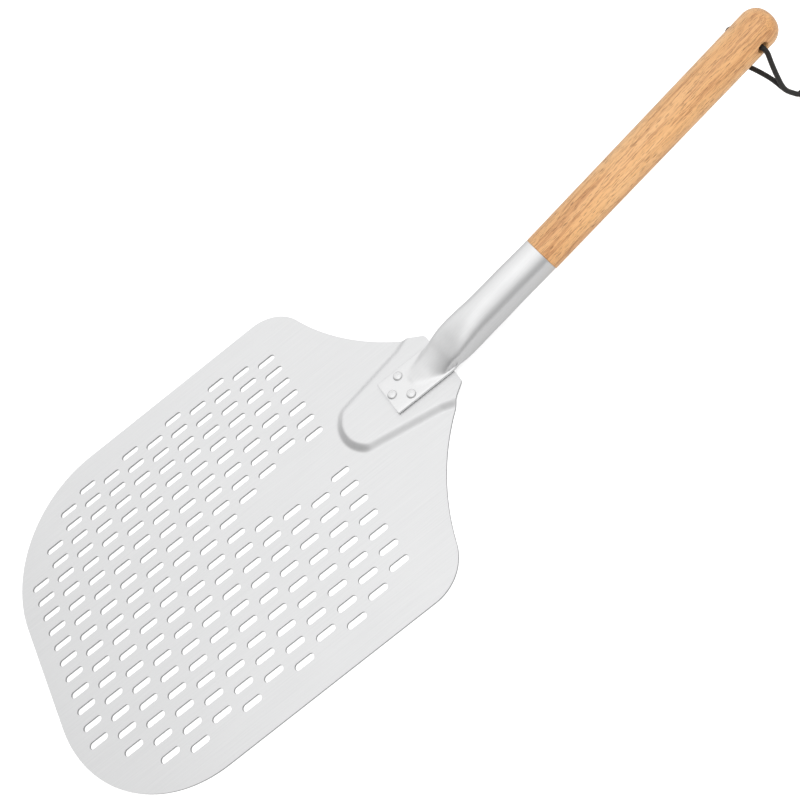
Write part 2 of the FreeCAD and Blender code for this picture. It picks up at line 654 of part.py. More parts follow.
def make_nail():
    """The nail stands along its own Z with the underside of its head at Z = 0."""
    body = new_body("handle_nail")
    shank, long = size("nail_radius"), size("nail_long")
    head, dome = size("nail_head"), size("nail_dome")
    sketch = make_turned(body, "nail_profile", [
        dome_arc(head, 0, dome),
        [(head, 0), (shank, 0)],
        [(shank, 0), (shank, shank - long)],
        [(shank, shank - long), (0, -long)],
        [(0, -long), (0, dome)],
    ])
    turned = body.newObject("PartDesign::Revolution", "nail_turned")
    turned.Profile = sketch
    turned.ReferenceAxis = (sketch, ["V_Axis"])
    turned.Angle = 360
    foot = handle_point(-size("nail_along"), size("handle_radius"))
    body.Placement = Placement(foot, nail_rotation())
    return body


def route_wire(name, points):
    """Straight runs joined by tangent arcs, each arc as large as its two runs allow."""
    corners = [Vector(*point) for point in points]
    edges = []
    radii = []
    at = corners[0]
    for before, corner, after in zip(corners, corners[1:], corners[2:]):
        inward = (before - corner).normalize()
        onward = (after - corner).normalize()
        turn = math.pi - inward.getAngle(onward)
        cut = ARC_SHARE * min((before - corner).Length, (after - corner).Length)
        radius = cut / math.tan(turn / 2)
        radii.append(round(radius, 1))
        start = corner + inward * cut
        end = corner + onward * cut
        bisector = (inward + onward).normalize()
        middle = corner + bisector * (radius / math.cos(turn / 2) - radius)
        edges.append(Part.LineSegment(at, start).toShape())
        edges.append(Part.Arc(start, middle, end).toShape())
        at = end
    edges.append(Part.LineSegment(at, corners[-1]).toShape())
    wire = Part.Wire(edges)
    print(name, "length", round(wire.Length, 1), "bend radii", radii)
    return wire


def make_cord(name, points, knot):
    wire = route_wire(name, points)
    radius = size("cord_radius")
    heading_out = Vector(*points[1]) - Vector(*points[0])
    ring = Part.Wire([Part.Circle(Vector(*points[0]), heading_out, radius).toShape()])
    tube = wire.makePipeShell([ring], True, False)
    expected = math.pi * radius**2 * wire.Length
    if abs(tube.Volume / expected - 1) > 0.02:
        raise RuntimeError(f"{name}: the tube's volume is not its section times its length")
    cord = doc.addObject("Part::Feature", name)
    cord.Shape = tube.cut(knot.Shape)
    cord.Label = name
    SUBPARTS.append(cord)
    return cord


def make_knot():
    """The knot rests on the table, with the cord's two tails beyond it."""
    ball = doc.addObject("Part::Ellipsoid", "knot_ball")
    bind(ball, "Radius1", "knot_half_high")
    bind(ball, "Radius2", "knot_half_long")
    bind(ball, "Radius3", "knot_half_high")
    bind(ball, "Placement.Base.x", "knot_back")
    bind(ball, "Placement.Base.y", "- knot_aside")
    bind(ball, "Placement.Base.z", "knot_half_high + cord_radius / 2")
    pieces = [ball]
    for number, swing in enumerate((28.0, -34.0)):
        tail = doc.addObject("Part::Cylinder", f"cord_tail_{number}")
        bind(tail, "Radius", "cord_radius")
        bind(tail, "Height", "knot_half_long + tail_long")
        turn = Rotation(UP, swing).multiply(Rotation(Vector(0, 1, 0), 97.0))
        tail.Placement = Placement(
            Vector(size("knot_back"), -size("knot_aside"), size("knot_half_high") - size("cord_radius")),
            turn,
        )
        pieces.append(tail)
    knot = doc.addObject("Part::MultiFuse", "cord_knot")
    knot.Shapes = pieces
    knot.Label = "cord_knot"
    SUBPARTS.append(knot)
    doc.recompute()
    return knot


make_blade()
make_tube_socket()
for rivet_name, (rivet_back, rivet_side) in zip(("rivet_front", "rivet_left", "rivet_right"), rivet_places()):
    make_rivet(rivet_name, rivet_back, rivet_side)
make_handle()
make_nail()
cord_knot = make_knot()
make_cord("cord_near_run", NEAR_RUN, cord_knot)
make_cord("cord_far_run", FAR_RUN, cord_knot)
doc.recompute()

for item in doc.Objects:
    if "Invalid" in item.State or "Error" in item.State:
        raise RuntimeError(f"{item.Name} failed: {item.State}")
for piece in SUBPARTS:
    shape = piece.Shape
    if shape.isNull() or not shape.isValid() or shape.Volume <= 0:
        raise RuntimeError(f"{piece.Label} has no valid solid")
    shape.exportStep(f"parts/{piece.Label}.step")
    box = shape.BoundBox
    print(
        f"{piece.Label}: {len(shape.Solids)} solid, {shape.Volume / 1000:.1f} cm3,",
        f"X {box.XMin:.1f}..{box.XMax:.1f} Y {box.YMin:.1f}..{box.YMax:.1f} Z {box.ZMin:.1f}..{box.ZMax:.1f}",
    )
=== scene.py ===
import math

import bmesh
import bpy
import numpy as np
from mathutils import Matrix, Vector
from mathutils.geometry import delaunay_2d_cdt


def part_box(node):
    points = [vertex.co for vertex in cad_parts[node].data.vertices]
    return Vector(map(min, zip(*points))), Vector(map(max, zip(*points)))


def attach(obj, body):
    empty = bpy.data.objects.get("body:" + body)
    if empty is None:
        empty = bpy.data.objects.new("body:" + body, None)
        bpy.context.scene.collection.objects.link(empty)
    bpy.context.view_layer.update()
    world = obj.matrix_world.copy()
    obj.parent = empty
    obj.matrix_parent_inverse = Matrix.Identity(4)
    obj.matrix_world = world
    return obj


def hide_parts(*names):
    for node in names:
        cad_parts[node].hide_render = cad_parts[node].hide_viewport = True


# A slotted aluminium pizza peel with a formed tube, a turned wooden grip and a black hanging cord.
# +X runs from the blade to the grip and +Z is up. Sizes are in millimetres until they reach a mesh.

MM = 0.001
BODY = "root"

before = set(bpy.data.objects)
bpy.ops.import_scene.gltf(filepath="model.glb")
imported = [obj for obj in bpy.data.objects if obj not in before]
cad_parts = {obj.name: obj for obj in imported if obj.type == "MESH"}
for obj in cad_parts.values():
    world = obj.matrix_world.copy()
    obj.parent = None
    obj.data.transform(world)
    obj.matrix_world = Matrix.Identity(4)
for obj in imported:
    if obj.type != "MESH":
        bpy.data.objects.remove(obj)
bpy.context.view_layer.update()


# ---------------------------------------------------------------- camera

CAMERA_AT = Vector((182.87, -437.58, 607.98)) * MM
CAMERA_LOOK = Vector((-0.02918, 0.58222, -0.81251))
CAMERA_UP = Vector((0.62077, 0.64766, 0.44180))
LENS = 44.5


def make_camera():
    lens = bpy.data.cameras.new("camera")
    lens.lens = LENS
    lens.sensor_width = 36
    lens.clip_start = 0.01
    lens.clip_end = 50
    camera = bpy.data.objects.new("camera", lens)
    look = CAMERA_LOOK.normalized()
    side = look.cross(CAMERA_UP).normalized()
    up = side.cross(look)
    turn = Matrix((side, up, -look)).transposed().to_4x4()
    camera.matrix_world = Matrix.Translation(CAMERA_AT) @ turn
    bpy.context.scene.collection.objects.link(camera)
    bpy.context.scene.camera = camera


make_camera()


# ---------------------------------------------------------------- shared helpers


def add_piece(name, mesh, replaces=()):
    """Put a finished mesh into the scene as a piece that rides on the peel."""
    piece = bpy.data.objects.new(name, mesh)
    bpy.context.scene.collection.objects.link(piece)
    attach(piece, BODY)
    if replaces:
        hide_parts(*replaces)
    return piece


def mesh_from(name, points, faces, sharp=40):
    """A smooth-shaded mesh from points in millimetres, creased where faces meet past an angle."""
    mesh = bpy.data.meshes.new(name)
    mesh.from_pydata([tuple(float(v) * MM for v in point) for point in points], [], faces)
    work = bmesh.new()
    work.from_mesh(mesh)
    bmesh.ops.recalc_face_normals(work, faces=work.faces)
    work.to_mesh(mesh)
    work.free()
    mesh.shade_smooth()
    mesh.set_sharp_from_angle(angle=math.radians(sharp))
    return mesh


def skin(rings, caps=(True, True)):
    """Points and faces of a closed tube through rings that all have as many points."""
    count = len(rings[0])
    points = [point for ring in rings for point in ring]
    faces = []
    for ring in range(len(rings) - 1):
        for step in range(count):
            one = ring * count + step
            other = ring * count + (step + 1) % count
            faces.append((one, other, other + count, one + count))
    for wanted, first in ((caps[0], 0), (caps[1], (len(rings) - 1) * count)):
        if wanted:
            centre = len(points)
            points.append(np.mean(points[first:first + count], axis=0))
            faces += [(first + step, first + (step + 1) % count, centre) for step in range(count)]
    return points, faces


def blend(low, high, value):
    """0 below low, 1 above high and an S between."""
    share = np.clip((value - low) / (high - low), 0.0, 1.0)
    return share * share * (3 - 2 * share)


class Shader:
    """Builds one material's nodes in a few short calls."""

    def __init__(self, name):
        self.material = bpy.data.materials.new(name)
        self.material.use_nodes = True
        self.tree = self.material.node_tree
        self.tree.nodes.clear()
        self.surface = self.add("BsdfPrincipled")
        output = self.add("OutputMaterial")
        self.join(self.surface.outputs["BSDF"], output.inputs["Surface"])

    def add(self, kind, settings=None, **inputs):
        node = self.tree.nodes.new("ShaderNode" + kind)
        for name, value in (settings or {}).items():
            setattr(node, name, value)
        for name, value in inputs.items():
            self.put(node.inputs[name.replace("_", " ")], value)
        return node

    def put(self, socket, value):
        if isinstance(value, bpy.types.NodeSocket):
            self.join(value, socket)
        else:
            socket.default_value = value

    def join(self, output, socket):
        self.tree.links.new(output, socket)

    def math(self, operation, *values):
        node = self.add("Math", {"operation": operation})
        for socket, value in zip(node.inputs, values):
            self.put(socket, value)
        return node.outputs[0]

    def place(self, scale, turn=(0, 0, 0), shift=(0, 0, 0)):
        """Position on the object in millimetres, turned, then stretched by a scale."""
        coordinates = self.add("TexCoord").outputs["Object"]
        straight = self.add("Mapping", Vector=coordinates, Scale=(1000,) * 3, Rotation=turn)
        return self.add("Mapping", Vector=straight.outputs[0], Scale=scale, Location=shift).outputs[0]

    def noise(self, where, detail=4.0, roughness=0.55, distortion=0.0, scale=1.0):
        node = self.add(
            "TexNoise", Vector=where, Scale=scale, Detail=detail, Roughness=roughness, Distortion=distortion
        )
        return node.outputs["Fac"]

    def ramp(self, factor, *stops):
        """A colour ramp; each stop is a place and a colour or a grey."""
        node = self.add("ValToRGB", Fac=factor)
        entries = node.color_ramp.elements
        while len(entries) < len(stops):
            entries.new(0.5)
        for entry, (place, colour) in zip(entries, stops):
            entry.position = place
            entry.color = (*colour, 1) if isinstance(colour, tuple) else (colour, colour, colour, 1)
        return node.outputs["Color"]

    def mix(self, factor, one, other, how="MIX"):
        node = self.add("Mix", {"data_type": "RGBA", "blend_type": how, "clamp_factor": True})
        self.put(node.inputs[0], factor)
        self.put(node.inputs[6], one)
        self.put(node.inputs[7], other)
        return node.outputs[2]

    def bump(self, height, strength, distance, normal=None):
        node = self.add("Bump", Height=height, Strength=strength, Distance=distance)
        if normal is not None:
            self.put(node.inputs["Normal"], normal)
        return node.outputs["Normal"]

    def finish(self, **inputs):
        for name, value in inputs.items():
            self.put(self.surface.inputs[name.replace("_", " ")], value)
        return self.material


# ---------------------------------------------------------------- hanging cord

CORD_RADIUS = 1.75
HOLE_MOUTH = 14.8
NEAR_RUN = [
    (503.7, 0.0, 76.3),
    (503.7, -8.5, 76.1),
    (503.7, -18.0, 76.0),
    (504.9, -19.3, 65.0),
    (508.8, -18.7, 48.5),
    (514.4, -17.8, 28.5),
    (521.6, -17.3, 18.0),
    (529.0, -17.9, 9.6),
]
FAR_RUN = [
    (503.7, 0.0, 76.3),
    (503.7, 8.5, 76.5),
    (503.4, 19.6, 76.2),
    (499.2, 19.6, 66.5),
    (497.6, 13.0, 57.0),
    (499.6, 2.5, 53.5),
    (503.8, -7.5, 49.0),
    (509.8, -13.4, 39.5),
    (516.2, -15.0, 26.0),
    (522.2, -13.6, 15.6),
    (529.0, -14.0, 7.4),
]
STRANDS = 16
BRAID_PITCH = 12.0
CORD_STEP = 0.3
CORD_SIDES = 48


def smooth_line(points):
    """Points along the smooth line that a route's points pull into shape, all in millimetres."""
    curve = bpy.data.curves.new("route", "CURVE")
    curve.dimensions = "3D"
    curve.resolution_u = 32
    spline = curve.splines.new("NURBS")
    spline.points.add(len(points) - 1)
    for control, place in zip(spline.points, points):
        control.co = (*(value * MM for value in place), 1)
    spline.order_u = 3
    spline.use_endpoint_u = True
    route = bpy.data.objects.new("route", curve)
    line = bpy.data.meshes.new_from_object(route)
    places = np.array([vertex.co for vertex in line.vertices]) / MM
    bpy.data.objects.remove(route)
    bpy.data.meshes.remove(line)
    return places


def even_steps(line, step):
    """The same line with its points at even steps."""
    along = np.concatenate([[0], np.cumsum(np.linalg.norm(np.diff(line, axis=0), axis=1))])
    wanted = np.linspace(0, along[-1], max(3, round(along[-1] / step)))
    return np.stack([np.interp(wanted, along, line[:, axis]) for axis in range(3)], axis=1), wanted


def braided_mesh(name, line, radius, tip=0.0):
    """A round braid of crossing strands along a line, drawn in at its far end by a tip length."""
    line, along = even_steps(line, CORD_STEP)
    heading = np.gradient(line, axis=0)
    heading /= np.linalg.norm(heading, axis=1)[:, None]
    across = np.cross(heading[0], (0.3, 0.1, 0.9))
    rings = []
    around = np.linspace(0, 2 * math.pi, CORD_SIDES, endpoint=False)
    for place, ahead, distance in zip(line, heading, along):
        across = across - ahead * float(across @ ahead)
        across /= np.linalg.norm(across)
        upward = np.cross(ahead, across)
        swing = math.pi * STRANDS * distance / BRAID_PITCH
        left = np.cos(STRANDS / 2 * around + swing)
        right = np.cos(STRANDS / 2 * around - swing)
        plait = np.maximum(left * (0.75 + 0.25 * right), right * (0.75 - 0.25 * left))
        shrink = 1.0
        if tip:
            shrink = math.sqrt(1 - (1 - min(1.0, (along[-1] - distance) / tip + 0.02)) ** 2)
        reach = radius * (0.94 + 0.06 * plait) * shrink
        outward = np.cos(around)[:, None] * across + np.sin(around)[:, None] * upward
        rings.append(place + reach[:, None] * outward)
    return mesh_from(name, *skin(rings), sharp=60)


def cord_material():
    shader = Shader("braided_cord")
    fuzz = shader.noise(shader.place((3.0,) * 3), detail=5)
    worn = shader.noise(shader.place((0.12,) * 3, shift=(4, 1, 0)), detail=3)
    colour = shader.ramp(fuzz, (0.3, (0.006, 0.0055, 0.005)), (0.7, (0.020, 0.018, 0.016)))
    colour = shader.mix(shader.math("MULTIPLY", worn, 0.3), colour, (0.035, 0.032, 0.030, 1))
    normal = shader.bump(fuzz, 0.5, 0.0001)
    return shader.finish(
        Base_Color=colour,
        Roughness=0.78,
        Normal=normal,
        Sheen_Weight=0.08,
        Sheen_Roughness=0.4,
    )


def make_knot(material):
    """An overhand knot pulled tight, with two short melted tails."""
    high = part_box("cord_knot")[1] / MM
    middle = np.array([534.5, -16.0, 6.9])
    spread = 1.42
    turns = np.linspace(0, 2 * math.pi, 28, endpoint=False) + 0.4
    loop = np.stack([
        spread * (np.sin(turns) + 2 * np.sin(2 * turns)),
        spread * (np.cos(turns) - 2 * np.cos(2 * turns)),
        -2.9 * np.sin(3 * turns),
    ], axis=1) + middle
    tied = braided_mesh("knot", smooth_line([*loop, loop[0]]), CORD_RADIUS)
    knot = add_piece("knot", tied, ["cord_knot"])
    knot.data.materials.append(material)
    pieces = [knot]
    for number, side in enumerate((1, -1)):
        end = Vector((high.x - 1.0, middle[1] + side * 8.0 - 0.5, CORD_RADIUS + 0.5))
        route = [
            tuple(middle + np.array([1.5, side * 1.5, -1.0])),
            tuple(middle + np.array([6.0, side * 2.5, -3.2])),
            (end.x - 5.0, end.y - side * 3.2, CORD_RADIUS + 1.1),
            tuple(end),
        ]
        tail = add_piece(
            f"cord_tail_{number}",
            braided_mesh("tail", smooth_line(route), CORD_RADIUS, tip=1.2),
        )
        tail.data.materials.append(material)
        pieces.append(tail)
    return pieces


def make_cord():
    material = cord_material()
    knot = make_knot(material)
    for name, points, side in (("near_run", NEAR_RUN, -HOLE_MOUTH), ("far_run", FAR_RUN, HOLE_MOUTH)):
        line = smooth_line(points)
        cord = add_piece(name, braided_mesh(name, line, CORD_RADIUS), ["cord_" + name])
        cord.data.materials.append(material)


make_cord()


# ---------------------------------------------------------------- blade

THICK = 1.8
HALF_WIDE = 152.0
FRONT = -184.5
FRONT_CORNER = 105.0
SHOULDER = 36.5
SHOULDER_BACK = 98.0
FLANK = 190.5
FLANK_BACK = 314.4
NECK = 206.3
NECK_CORNER = 5.0
SLOT_LONG = 16.6
SLOT_WIDE = 5.3
COLUMN_PITCH = 23.04
ROW_PITCH = 14.87
# Column, outermost half row, and the innermost one left out at the middle (-1: none).
SLOT_COLUMNS = [
    (-7, 10, -1), (-6, 13, -1), (-5, 16, -1), (-4, 17, -1), (-3, 16, -1), (-2, 17, -1),
    (-1, 16, -1), (0, 17, -1), (1, 16, 0), (2, 17, 1), (3, 16, 2), (4, 15, 1),
]
EDGE_ROUND = 0.18
EDGE_STEPS = 4
TONGUE_RISE = 4.5
TONGUE_RUN = 7.2
TONGUE_NOSE = 29.0
TONGUE_NOSE_BACK = 136.9
TONGUE_CORNER = 14.0
TONGUE_HALF = 26.3
TONGUE_SPREAD = math.radians(11.3)
TONGUE_FLARE = math.radians(22.0)
TONGUE_FLARE_BACK = 181.0
TONGUE_GRID = 1.2


def on_circle(centre, radius, start, end, count):
    angles = np.radians(np.linspace(start, end, count))
    return [(centre[0] + radius * math.cos(a), centre[1] + radius * math.sin(a)) for a in angles]


def heading(start, end):
    return math.degrees(math.atan2(end[1] - start[1], end[0] - start[0]))


def blade_outline(inset):
    """The blade's edge, drawn in by so much, anticlockwise from the neck."""
    shoulder_mid = (SHOULDER_BACK, HALF_WIDE - SHOULDER)
    rise = math.sqrt((SHOULDER + FLANK) ** 2 - (FLANK_BACK - SHOULDER_BACK) ** 2)
    flank_mid = (FLANK_BACK, shoulder_mid[1] + rise)
    drop = math.sqrt((FLANK + NECK_CORNER) ** 2 - (FLANK_BACK - NECK + NECK_CORNER) ** 2)
    nick_mid = (NECK - NECK_CORNER, flank_mid[1] - drop)
    front_mid = (FRONT + FRONT_CORNER, HALF_WIDE - FRONT_CORNER)
    meet = heading(shoulder_mid, flank_mid)
    turn = heading(flank_mid, nick_mid)
    upper = [
        *on_circle(nick_mid, NECK_CORNER - inset, 0, turn + 180, 7)[:-1],
        *on_circle(flank_mid, FLANK + inset, turn, meet - 180, 60)[:-1],
        *on_circle(shoulder_mid, SHOULDER - inset, meet, 90, 24),
        *on_circle(front_mid, FRONT_CORNER - inset, 90, 180, 56),
    ]
    return np.array(upper + [(x, -y) for x, y in upper[::-1]])


def slot_outline(middle, grow):
    reach = (SLOT_LONG - SLOT_WIDE) / 2
    radius = SLOT_WIDE / 2 + grow
    left = on_circle((middle[0] - reach, middle[1]), radius, 90, 270, 11)
    right = on_circle((middle[0] + reach, middle[1]), radius, -90, 90, 11)
    return np.array(left + right)


def slot_places():
    for column, last, blank in SLOT_COLUMNS:
        for half_row in range(-last, last + 1, 2):
            if abs(half_row) > blank:
                yield column * COLUMN_PITCH, half_row * ROW_PITCH / 2


def tongue_outline():
    """The foot of the pressed tongue, anticlockwise, running out past the neck."""
    share = math.asin((TONGUE_HALF - TONGUE_CORNER) / (TONGUE_NOSE - TONGUE_CORNER))
    turn = math.pi - share + TONGUE_SPREAD
    reach = TONGUE_NOSE - TONGUE_CORNER
    corner_mid = (TONGUE_NOSE_BACK + reach * math.cos(turn), reach * math.sin(turn))
    side = math.degrees(TONGUE_SPREAD) + 90
    corner = on_circle(corner_mid, TONGUE_CORNER, side, math.degrees(turn), 12)
    bend_y = corner[0][1] + (TONGUE_FLARE_BACK - corner[0][0]) * math.tan(TONGUE_SPREAD)
    end_x = NECK + 40
    end_y = bend_y + (end_x - TONGUE_FLARE_BACK) * math.tan(TONGUE_FLARE)
    nose = on_circle((TONGUE_NOSE_BACK, 0), TONGUE_NOSE, math.degrees(turn), 180, 12)[1:]
    upper = [(end_x, end_y), (TONGUE_FLARE_BACK, bend_y), *corner, *nose]
    return np.array(upper + [(x, -y) for x, y in upper[-2::-1]])


def depth_inside(places, outline):
    """How far each place lies inside a closed outline; outside is negative."""
    starts = outline
    ends = np.roll(outline, -1, axis=0)
    along = ends - starts
    offset = places[:, None, :] - starts[None, :, :]
    share = np.clip((offset * along).sum(2) / (along**2).sum(1), 0, 1)
    gap = np.linalg.norm(offset - share[..., None] * along, axis=2).min(1)
    crosses = (starts[:, 1] > places[:, 1:2]) != (ends[:, 1] > places[:, 1:2])
    with np.errstate(divide="ignore", invalid="ignore"):
        cut = starts[:, 0] + (places[:, 1:2] - starts[:, 1]) / along[:, 1] * along[:, 0]
    inside = (crosses & (places[:, 0:1] < cut)).sum(1) % 2 == 1
    return np.where(inside, gap, -gap)


def tongue_height(places):
    """Rise of the pressed tongue: a straight slope with soft bends at its foot and crown."""
    depth = depth_inside(places, tongue_outline())
    return TONGUE_RISE * blend(-1.2, TONGUE_RUN - 1.2, depth)


def edge_profile():
    """How far in and how far down each ring of a rounded sheet edge lies, from top to underside."""
    quarter = np.linspace(0, math.pi / 2, EDGE_STEPS + 1)
    down = [(EDGE_ROUND * (1 - math.sin(a)), EDGE_ROUND * (1 - math.cos(a))) for a in quarter]
    return down + [(inset, THICK - drop) for inset, drop in down[::-1]]


def make_blade():
    profile = edge_profile()
    rims = [[blade_outline(inset) for inset, _drop in profile]]
    rims += [[slot_outline(place, inset) for inset, _drop in profile] for place in slot_places()]

    # The flat of the sheet is triangulated between its rounded edges, with extra points on the tongue.
    flat = [ring for rim in rims for ring in rim[0]]
    loops = []
    for rim in rims:
        first = sum(len(loop) for loop in loops)
        loops.append(range(first, first + len(rim[0])))
    edges = [(loop[step - 1], loop[step]) for loop in loops for step in range(len(loop))]
    xs = np.arange(TONGUE_NOSE_BACK - TONGUE_NOSE - 4, NECK, TONGUE_GRID)
    ys = np.arange(-52, 52.1, TONGUE_GRID)
    grid = np.array([(x, y) for x in xs for y in ys])
    grid = grid[depth_inside(grid, rims[0][0]) > 0.6 * TONGUE_GRID]
    grid = grid[depth_inside(grid, tongue_outline()) > -3.0]
    middles = np.array(list(slot_places()))
    spans = np.abs(grid[:, None, :] - middles[None, :, :])
    near_slot = (spans[..., 0] < SLOT_LONG / 2 + 1) & (spans[..., 1] < SLOT_WIDE / 2 + 1)
    grid = grid[~near_slot.any(axis=1)]
    flat += list(grid)
    made = delaunay_2d_cdt([Vector(place) for place in flat], edges, [], 0, 1e-6)
    owner = np.full(len(flat), -1)
    for number, loop in enumerate(loops):
        owner[list(loop)] = number
    source = [origins[0] if origins else 0 for origins in made[3]]
    triangles = [[source[corner] for corner in face] for face in made[2]]
    centres = np.array([[sum(flat[c][axis] for c in face) / 3 for axis in (0, 1)] for face in triangles])
    in_blade = depth_inside(centres, rims[0][0]) > 0
    kept = []
    for face, inside in zip(triangles, in_blade):
        owners = {owner[corner] for corner in face}
        in_slot = len(owners) == 1 and owners.pop() > 0
        if inside and not in_slot:
            kept.append(face)

    flat = np.array([(place[0], place[1]) for place in flat])
    lift = tongue_height(flat)
    top = np.column_stack([flat, THICK + lift])
    under = np.column_stack([flat, lift])
    count = len(flat)
    points = [*top, *under]
    faces = [tuple(face) for face in kept]
    faces += [tuple(corner + count for corner in face[::-1]) for face in kept]
    for rim, loop in zip(rims, loops):
        size = len(loop)
        previous = list(loop)
        for ring, (_inset, drop) in list(zip(rim, profile))[1:-1]:
            first = len(points)
            points += list(np.column_stack([ring, THICK - drop + tongue_height(ring)]))
            following = list(range(first, first + size))
            faces += bridge(previous, following)
            previous = following
        faces += bridge(previous, [corner + count for corner in loop])
    sheet = mesh_from("blade_sheet", points, faces, sharp=55)
    blade = add_piece("blade_sheet", sheet, ["blade"])
    flatten = blade.modifiers.new("flat_faces_stay_flat", "WEIGHTED_NORMAL")
    flatten.weight = 100
    flatten.keep_sharp = True
    blade.data.materials.append(sheet_material())
    blade.data.materials.append(cut_face_and_shade_material())
    # Near-upright faces, the slot walls and the sheet's rim, get the darker cut-face material, which is
    # partly painted shade.
    for face in blade.data.polygons:
        if abs(face.normal.z) < 0.3:
            face.material_index = 1


def bridge(one, other):
    """Quads between two loops of as many points."""
    return [(one[step - 1], one[step], other[step], other[step - 1]) for step in range(len(one))]


def sheet_material():
    shader = Shader("rolled_aluminium")
    rolled = shader.noise(shader.place((0.02, 1.4, 1.0)), detail=5, roughness=0.6)
    speck = shader.noise(shader.place((2.2,) * 3), detail=3)
    cloud = shader.noise(shader.place((0.012, 0.012, 0.012), shift=(3, 5, 0)), detail=2)
    scuffs = shader.noise(shader.place((0.05, 0.9, 0.5), turn=(0, 0, 0.6)), detail=6, roughness=0.7)
    scuffs = shader.ramp(scuffs, (0.60, 0.0), (0.72, 1.0))
    colour = shader.ramp(rolled, (0.3, (0.825, 0.827, 0.832)), (0.7, (0.870, 0.872, 0.875)))
    colour = shader.mix(shader.math("MULTIPLY", scuffs, 0.10), colour, (0.97, 0.97, 0.97, 1))
    roughness = shader.math("ADD", shader.math("MULTIPLY", cloud, 0.10), 0.36)
    roughness = shader.math("ADD", roughness, shader.math("MULTIPLY", speck, 0.06))
    normal = shader.bump(rolled, 0.10, 0.00005)
    normal = shader.bump(speck, 0.10, 0.00004, normal)
    return shader.finish(Base_Color=colour, Metallic=1.0, Roughness=roughness, Normal=normal)


def cut_face_and_shade_material():
    """The cut faces of the sheet, duller and rougher than its rolled faces; their darker grey is partly the
    sheared metal and partly painted shade in the slots.
    """
    shader = Shader("sheared_aluminium_painted_shade")
    torn = shader.noise(shader.place((1.6, 1.6, 0.5)), detail=5, roughness=0.65)
    # This grey is darker than the rolled sheet partly as painted shade on the slot walls.
    colour = shader.ramp(torn, (0.3, (0.50, 0.50, 0.505)), (0.7, (0.64, 0.64, 0.645)))
    return shader.finish(
        Base_Color=colour, Metallic=1.0, Roughness=0.5, Normal=shader.bump(torn, 0.3, 0.0001)
    )


make_blade()


# ---------------------------------------------------------------- formed tube

TUBE_WALL = 1.4
FLANGE_FRONT = 154.2
FLANGE_HALF = 16.7
FLANGE_SEAT = THICK + TONGUE_RISE
FLANGE_FULLNESS = 5.0
JOINT = (308.6, 30.2)
TILT = math.radians(13.3)
# Place along X, half width, top, underside and fullness of the tube's cross-section.
TUBE_SECTIONS = [
    (174.0, 5.0, 8.7, 5.6, 2.0),
    (180.0, 7.6, 10.3, 5.5, 2.0),
    (186.0, 9.2, 11.9, 5.4, 2.1),
    (192.0, 10.7, 13.5, 5.2, 2.1),
    (198.0, 12.3, 15.4, 4.8, 2.2),
    (204.0, 14.0, 17.6, 3.9, 2.3),
    (210.0, 15.6, 20.2, 2.4, 2.4),
    (216.0, 16.4, 22.7, 1.2, 2.5),
    (222.0, 16.4, 25.2, 0.8, 2.5),
    (234.0, 15.8, 29.4, 1.0, 2.3),
    (246.0, 15.3, 32.6, 2.0, 2.05),
    (258.0, 15.15, 35.2, 4.2, 2.0),
    (276.0, 15.0, 39.15, 8.5, 2.0),
    (294.0, 14.8, 42.7, 12.35, 2.0),
    (306.0, 14.7, 45.1, 14.95, 2.0),
    (312.0, 14.7, 46.4, 16.2, 2.0),
]
TUBE_STEP = 0.9
TUBE_SIDES = 128
FOLD_END = (206.8, 218.0)
SWELL_FILLS = (190.0, 211.0)


def smooth_table(table, x):
    """A row of the table at any place, on a smooth curve through its rows."""
    rows = np.array(table)
    x = min(max(x, rows[0, 0]), rows[-1, 0])
    number = int(np.clip(np.searchsorted(rows[:, 0], x) - 1, 0, len(rows) - 2))
    slopes = np.gradient(rows[:, 1:], rows[:, 0], axis=0)
    wide = rows[number + 1, 0] - rows[number, 0]
    share = (x - rows[number, 0]) / wide
    square, cube = share**2, share**3
    return (
        (2 * cube - 3 * square + 1) * rows[number, 1:]
        + (cube - 2 * square + share) * wide * slopes[number]
        + (3 * square - 2 * cube) * rows[number + 1, 1:]
        + (cube - square) * wide * slopes[number + 1]
    )


def softer_max(one, other, soft):
    return (one + other + np.sqrt((one - other) ** 2 + soft**2)) / 2


def tube_ring(x):
    """One cross-section: the flattened strip with the swelling on it, turning into the round tube."""
    around = np.linspace(0, 2 * math.pi, TUBE_SIDES, endpoint=False)
    sideways, upper = np.cos(around), np.sin(around) >= 0
    half, top, bottom, fullness = smooth_table(TUBE_SECTIONS, x)
    middle, high = (top + bottom) / 2, (top - bottom) / 2

    strip_side = FLANGE_HALF * sideways
    strip_high = TUBE_WALL * (1 - np.abs(sideways) ** FLANGE_FULLNESS) ** (1 / FLANGE_FULLNESS)
    seat_middle = FLANGE_SEAT + TUBE_WALL
    filled = blend(*SWELL_FILLS, x)
    reach = half * (1.3 - 0.3 * filled)
    share = np.clip(1 - (np.abs(strip_side) / reach) ** fullness, 0, None)
    foot = seat_middle + (middle - seat_middle) * filled
    swell = foot + (top - foot) * share ** (1 - filled * (1 - 1 / fullness))
    grown = blend(170.0, 178.0, x)
    swell = np.where(share > 0, swell, seat_middle) * grown + seat_middle * (1 - grown)
    raised = softer_max(seat_middle + strip_high, swell, grown + 0.02)
    strip_top = np.where(strip_high > 0.4, raised, seat_middle + strip_high)
    strip_up = np.where(upper, strip_top, seat_middle - strip_high)

    round_side = half * sideways
    round_high = high * (1 - np.abs(sideways) ** fullness) ** (1 / fullness)
    round_up = np.where(upper, middle + round_high, middle - round_high)

    turned = float(blend(*FOLD_END, x))
    side = strip_side * (1 - turned) + round_side * turned
    up = strip_up * (1 - turned) + round_up * turned
    lean = TILT * float(blend(262.0, 300.0, x))
    scale = math.cos(TILT) / math.cos(TILT - lean) if lean else 1.0
    rise = (up - middle) * scale
    return np.column_stack([x - rise * math.sin(lean), side, middle + rise * math.cos(lean)])


